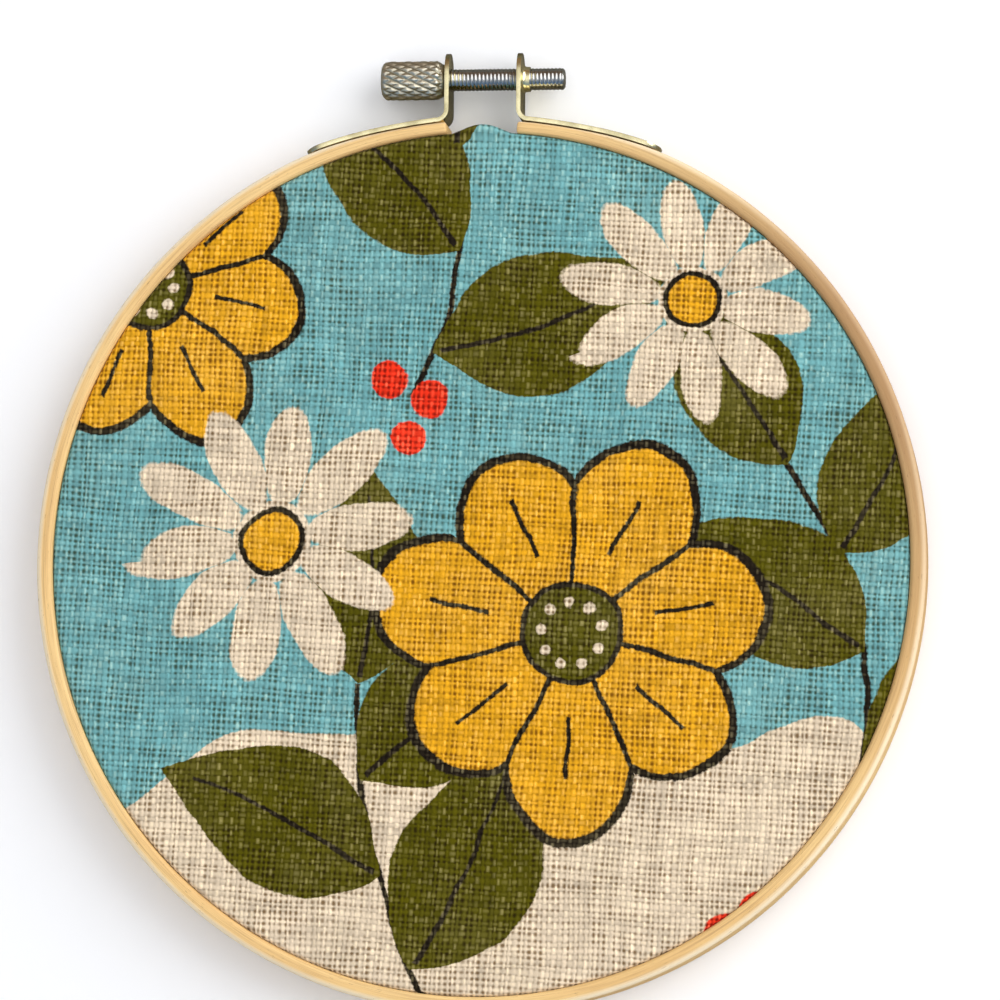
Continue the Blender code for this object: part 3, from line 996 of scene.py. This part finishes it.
def stored(board, geometry, name, value):
    settings = {"data_type": "FLOAT", "domain": "POINT"}
    sockets = {"Geometry": geometry, "Name": name, "Value": value}
    return board.node("GeometryNodeStoreNamedAttribute", settings, sockets)


# grip: a turned barrel with a diamond knurl, rounded at its free end
gripShape = {
    "Rounding": 1.3 * mm,
    "Neck": 2.8 * mm,
    "Taper": 1.4 * mm,
    "Knurl Depth": 0.34 * mm,
    "Knurl Starts": 15.0,
    "Diamond Length": 2.78 * mm,
    "Second Cut": 0.7,  # depth of the flatter set of grooves beside the other
}
gripSteps = {"along": 160, "around": 280}


def gripBoard(sizes, material):
    board, given = shapeTree("gripNodes", sizes)
    grid, share, around = ruledGrid(board, gripSteps["along"], gripSteps["around"] + 1)
    left, right, radius = given["Left"], given["Right"], given["Radius"]
    rounding, neck, taper = given["Rounding"], given["Neck"], given["Taper"]
    barrel = right - left - rounding - taper
    slope = board.math("SQRT", taper * taper + (radius - neck) * (radius - neck))
    toRounding = radius - rounding
    toBarrel = toRounding + rounding * (math.pi / 2)
    toTaper = toBarrel + barrel
    toFace = toTaper + slope
    walked = share * (toFace + neck)
    turn = ((walked - toRounding) / rounding).within(0.0, math.pi / 2)
    tapered = ((walked - toTaper) / slope).within(0.0, 1.0)
    along = left + rounding * (1.0 - turn.math("COSINE"))
    along = along + (walked - toBarrel).most(0.0).least(barrel) + taper * tapered
    reach = walked.least(toRounding) + rounding * turn.math("SINE")
    reach = reach - (radius - neck) * tapered - (walked - toFace).most(0.0)
    first = around * given["Knurl Starts"] + along / given["Diamond Length"]
    second = around * given["Knurl Starts"] - along / given["Diamond Length"]
    rise = []
    for path in (first, second):
        off = abs(path - path.math("FLOOR") - 0.5) * 2.0
        rise.append(((off - 0.3) / 0.7).within(0.0, 1.0))
    groove = rise[1].most(rise[0] * given["Second Cut"])
    start = ((along - left) / (rounding * 0.9)).within(0.0, 1.0)
    stop = ((right - taper * 0.15 - along) / (taper * 0.4)).within(0.0, 1.0)
    groove = groove * start * stop
    reach = (reach - groove * given["Knurl Depth"]).most(0.0)
    # painted shade on the taper, stored with the grooves for the same painted shade
    shaded = ((along - right) / taper + 0.9).within(0.0, 1.0) * 1.3
    kept = stored(board, grid, "groove", groove.most(shaded))
    closeTree(board, aboutScrew(board, kept, along, reach, around, given), material)
    return board


def makeGrip():
    material = metalMaterial("gripPlate")
    radius = (knobHigh.z - knobLow.z) / 2
    sizes = {**gripShape, **screwAxis, "Left": knobLow.x, "Right": knobHigh.x, "Radius": radius}
    mesh = meshFromTree("knurledGrip", gripBoard(sizes, material), sizes)
    addPiece("knurledGrip", mesh, material, "thumbscrew", ["knob"], 50)
    print("grip made with", len(mesh.polygons), "faces")


makeGrip()

# shaft: a right-handed thread, chamfered at its tip
shaftShape = {"Pitch": 0.7 * mm, "Thread Depth": 0.12 * mm, "Chamfer": 0.42 * mm}
shaftSteps = {"perTurn": 10, "around": 72, "insideGrip": 1.2 * mm}


def shaftBoard(sizes, material, turns):
    board, given = shapeTree("shaftNodes", sizes)
    columns = turns * shaftSteps["perTurn"] + 1
    grid, share, around = ruledGrid(board, columns, shaftSteps["around"] + 1)
    start, tip, radius, pitch = given["Start"], given["Tip"], given["Radius"], given["Pitch"]
    helix = share * float(turns)
    raw = start + (helix - 2.0 + around) * pitch
    phase = helix - helix.math("FLOOR") - 0.5
    root = ((abs(phase) * 2.0 - 0.1) / 0.85).within(0.0, 1.0)
    reach = radius - root * given["Thread Depth"]
    face = radius - given["Chamfer"]
    reach = reach.least(face + (tip - raw).most(0.0))
    reach = reach - ((raw - tip).most(0.0) + (start - raw).most(0.0)) * (radius * 2.4 / pitch)
    along = raw.most(start).least(tip)
    # the thread's roots, stored for their painted shade
    kept = stored(board, grid, "groove", root)
    closeTree(board, aboutScrew(board, kept, along, reach.most(0.0), around, given), material)
    return board


def makeShaft():
    material = metalMaterial("shaftPlate")
    start = knobHigh.x - shaftSteps["insideGrip"]
    turns = math.ceil((shaftHigh.x - start) / shaftShape["Pitch"]) + 4
    radius = (shaftHigh.z - shaftLow.z) / 2
    sizes = {**shaftShape, **screwAxis, "Start": start, "Tip": shaftHigh.x, "Radius": radius}
    mesh = meshFromTree("threadedShaft", shaftBoard(sizes, material, turns), sizes)
    addPiece("threadedShaft", mesh, material, "thumbscrew", ["screw_shaft"], 50)
    print("shaft made with", len(mesh.polygons), "faces")


makeShaft()

# floor, light and camera
studio = {
    "floorSize": 6.0,
    "floorTone": tone(247, 247, 248),
    "floorShade": tone(228, 229, 231),  # in its faint unevenness
    "floorShown": tone(112, 108, 94),  # what polished metal shows of it
    "floorGlow": 0.06,
    "overhead": (1.2, 1.2, 1.2, 1.0),
    "roomSide": (0.43, 0.455, 0.505, 1.0),  # low down, for all but polished metal
    "warmSide": (0.24, 0.165, 0.11, 1.0),  # low down beyond the screw
    "coolSide": (0.17, 0.28, 0.43, 1.0),  # low down on the side of the camera
    "backdrop": (0.9, 0.9, 0.9, 1.0),
    "keyPlace": (1.0, 0.48, 0.68),
    "keySize": 1.6,
    "keyPower": 15.4,
}
cameraPlan = {
    "leanRight": 6.5,  # degrees that the view leans to the hoop's right
    "leanDown": 6.5,  # and away from its screw
    "roll": 0.5,
    "distance": 1.0,
    "frameWidth": 178.64 * mm,
    "aimRight": 3.98 * mm,  # of the frame's middle from the hoop's
    "aimUp": 10.83 * mm,
    "sensor": 36.0,
}


def makeStudio():
    plan = studio
    size = plan["floorSize"] / 2
    mesh = bpy.data.meshes.new("floor")
    corners = [(-size, -size), (size, -size), (size, size), (-size, size)]
    mesh.from_pydata([(*corner, -0.2 * mm) for corner in corners], [], [(0, 1, 2, 3)])
    floor = bpy.data.objects.new("floor", mesh)
    bpy.context.scene.collection.objects.link(floor)
    material, board, shader = newMaterial("floorPaint", Roughness=0.9, Emission_Strength=plan["floorGlow"])
    place = board.node("ShaderNodeTexCoord", None, None, "Object")
    faint = board.noise(place, 9.0, 2.0) - 0.5
    colour = board.blend(faint * 0.1 + 0.02, plan["floorTone"], plan["floorShade"])
    mirrored = board.node("ShaderNodeLightPath", None, None, "Is Glossy Ray")
    colour = board.blend(mirrored, colour, plan["floorShown"])
    board.feed(shader.inputs["Base Color"], colour)
    glow = board.blend(mirrored, plan["floorTone"], (0.0, 0.0, 0.0, 1.0))
    board.feed(shader.inputs["Emission Color"], glow)
    mesh.materials.append(material)
    light = bpy.data.lights.new("keyLight", "AREA")
    light.shape = "DISK"
    light.size = plan["keySize"]
    light.energy = plan["keyPower"]
    lamp = bpy.data.objects.new("keyLight", light)
    lamp.location = plan["keyPlace"]
    lamp.rotation_euler = Vector(plan["keyPlace"]).to_track_quat("Z", "Y").to_euler()
    bpy.context.scene.collection.objects.link(lamp)
    scene = bpy.context.scene
    scene.view_settings.view_transform = "Standard"
    scene.cycles.max_bounces = 4
    scene.cycles.diffuse_bounces = 2
    scene.cycles.glossy_bounces = 3
    # smooth spots stop early, which keeps the final render short
    scene.cycles.use_adaptive_sampling = True
    scene.cycles.adaptive_threshold = 0.1
    scene.cycles.adaptive_min_samples = 24


def makeSky():
    # bright overhead and dim low down, for polished metal to show
    plan = studio
    world = bpy.data.worlds.new("studioSky")
    world.use_nodes = True
    board = Board(world.node_tree)
    way = board.node("ShaderNodeTexCoord", None, None, "Object")
    _, y, z = board.parts(way)
    low = board.blend((y * 0.9 + 0.5).within(0.0, 1.0), plan["coolSide"], plan["warmSide"])
    mirrored = board.node("ShaderNodeLightPath", None, None, "Is Glossy Ray")
    low = board.blend(mirrored, plan["roomSide"], low)
    colour = board.blend(z.most(0.0) ** (mirrored * 3.0 + 3.0), low, plan["overhead"])
    seen = board.node("ShaderNodeLightPath", None, None, "Is Camera Ray")
    colour = board.blend(seen, colour, plan["backdrop"])
    board.feed(world.node_tree.nodes["Background"].inputs["Color"], colour)
    bpy.context.scene.world = world


def makeCamera():
    plan = cameraPlan
    right, down = math.sin(math.radians(plan["leanRight"])), math.sin(math.radians(plan["leanDown"]))
    towards = Vector((right, -down, math.sqrt(1 - right**2 - down**2)))
    side = Vector((0, 1, 0)).cross(towards).normalized()
    up = towards.cross(side)
    aim = Vector((0, hoopY, rimHigh.z)) + Vector((plan["aimRight"], plan["aimUp"], 0))
    data = bpy.data.cameras.new("photoCamera")
    data.sensor_width = plan["sensor"]
    data.lens = plan["sensor"] * plan["distance"] / plan["frameWidth"]
    camera = bpy.data.objects.new("photoCamera", data)
    turned = Matrix((side, up, towards)).transposed() @ Matrix.Rotation(math.radians(plan["roll"]), 3, "Z")
    camera.matrix_world = Matrix.Translation(aim + towards * plan["distance"]) @ turned.to_4x4()
    bpy.context.scene.collection.objects.link(camera)
    bpy.context.scene.camera = camera


makeStudio()
makeSky()
makeCamera()
print("studio and camera ready")
